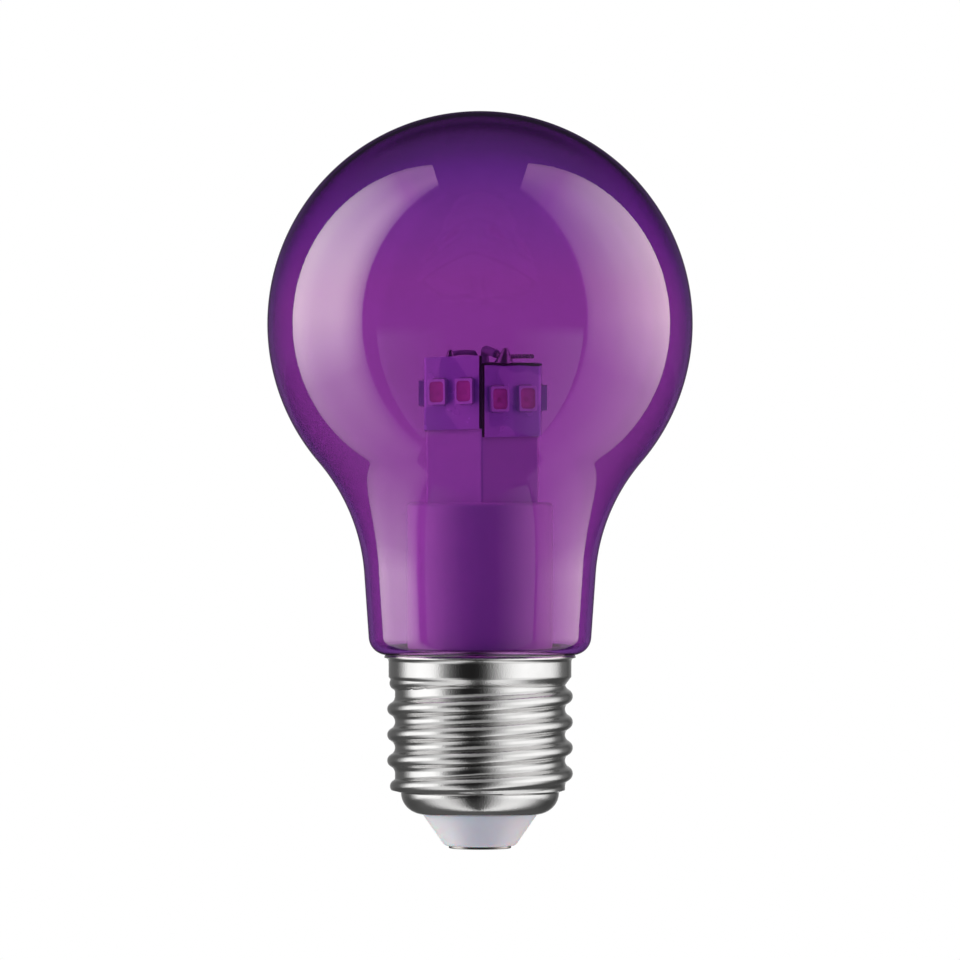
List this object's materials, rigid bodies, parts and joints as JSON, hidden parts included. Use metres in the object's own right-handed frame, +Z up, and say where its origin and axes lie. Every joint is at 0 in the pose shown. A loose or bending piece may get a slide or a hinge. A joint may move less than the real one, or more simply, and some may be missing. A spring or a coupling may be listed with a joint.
{
  "type": "coloured led bulb",
  "caption": "Light bulb with a round violet tinted glass head on a metal screw cap, lit by leds on a six-sided post inside.",
  "frame": {"origin": "centre of the lower face of the bottom contact, on the bulb's axis", "axes": "+Z up along the bulb's axis from the cap to the glass crown; -Y is the side with the strip's seam, +X to its right"},
  "size_m": [0.06, 0.06, 0.1039],
  "materials": {
    "tinted_glass": "clear glass tinted violet, polished",
    "plated_steel": "nickel plate, rolled, slightly frosted",
    "cap_insulator": "fired cap insulation, pale grey, satin",
    "contact_metal": "nickel plate, turned",
    "cement": "set cement, dull",
    "white_plastic": "moulded, satin",
    "strip_board": "coated circuit strip, glossy grey",
    "dark_tape": "thin adhesive tape, dull",
    "led_body": "moulded package, satin",
    "led_resin": "cured resin, glossy",
    "solder": "solder, bright",
    "wire_sleeve": "extruded insulation, satin",
    "bare_wire": "tinned wire",
    "board_laminate": "green laminate, satin",
    "chip_body": "moulded chip, dull",
    "capacitor_sleeve": "shrunk sleeve, satin",
    "fuse_coating": "resistor lacquer, satin"
  },
  "bodies": {
    "root": {"glass_bulb": "tinted_glass", "screw_shell": "plated_steel", "insulator": "cap_insulator", "centre_contact": "contact_metal", "cement_ring": "cement", "driver_housing": "white_plastic", "led_post": "white_plastic", "circuit_strip": "strip_board", "strip_tape": "dark_tape", "led_solder": "solder", "plus_lead": "wire_sleeve", "plus_core": "bare_wire", "minus_lead": "wire_sleeve", "plus_joint": "solder", "minus_joint": "solder", "live_wire": "bare_wire", "return_wire": "bare_wire", "driver_board": "board_laminate", "board_solder": "solder", "smoothing_capacitor": "capacitor_sleeve", "fuse_resistor": "fuse_coating", "bridge_rectifier": "chip_body", "driver_chip": "chip_body", "chip_resistors": "chip_body", "led_package_01": "led_body", "led_window_01": "led_resin", "led_package_02": "led_body", "led_window_02": "led_resin", "led_package_03": "led_body", "led_window_03": "led_resin", "led_package_04": "led_body", "led_window_04": "led_resin", "led_package_05": "led_body", "led_window_05": "led_resin", "led_package_06": "led_body", "led_window_06": "led_resin", "led_package_07": "led_body", "led_window_07": "led_resin", "led_package_08": "led_body", "led_window_08": "led_resin", "led_package_09": "led_body", "led_window_09": "led_resin", "led_package_10": "led_body", "led_window_10": "led_resin", "led_package_11": "led_body", "led_window_11": "led_resin", "led_package_12": "led_body", "led_window_12": "led_resin"}
  },
  "joints": []
}
